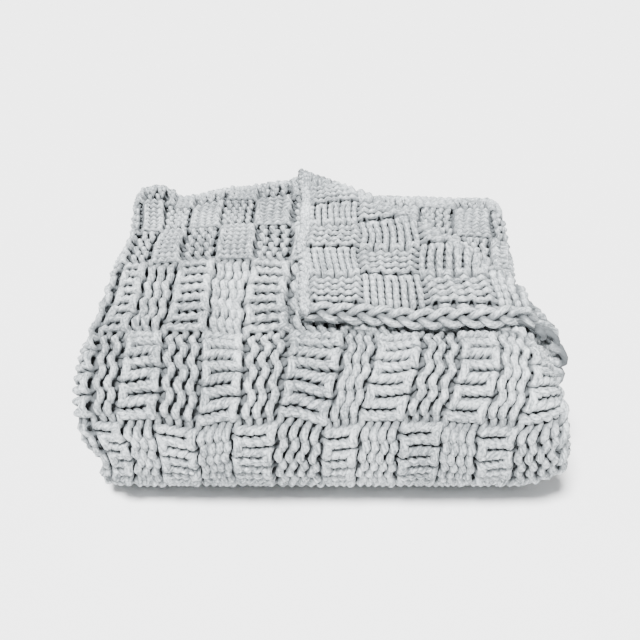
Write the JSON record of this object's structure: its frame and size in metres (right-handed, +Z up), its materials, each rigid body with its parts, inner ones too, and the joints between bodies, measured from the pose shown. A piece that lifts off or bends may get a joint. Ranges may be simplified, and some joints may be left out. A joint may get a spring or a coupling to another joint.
{
  "type": "folded knit throw blanket",
  "caption": "Chunky basketweave knit throw, folded in thirds both ways into a soft pile, one top corner turned back to show the reverse.",
  "frame": {"origin": "bottom centre of the bounding box, on the surface the pile rests on", "axes": "+X along the pile's width, to the right seen from its rounded front; +Y towards its back, where the free edges lie; +Z up"},
  "size_m": [0.5544, 0.432, 0.2698],
  "materials": {
    "knit": "soft plied wool-look yarn, matt, light cool grey"
  },
  "bodies": {
    "root": {"throw": "knit"}
  },
  "joints": []
}
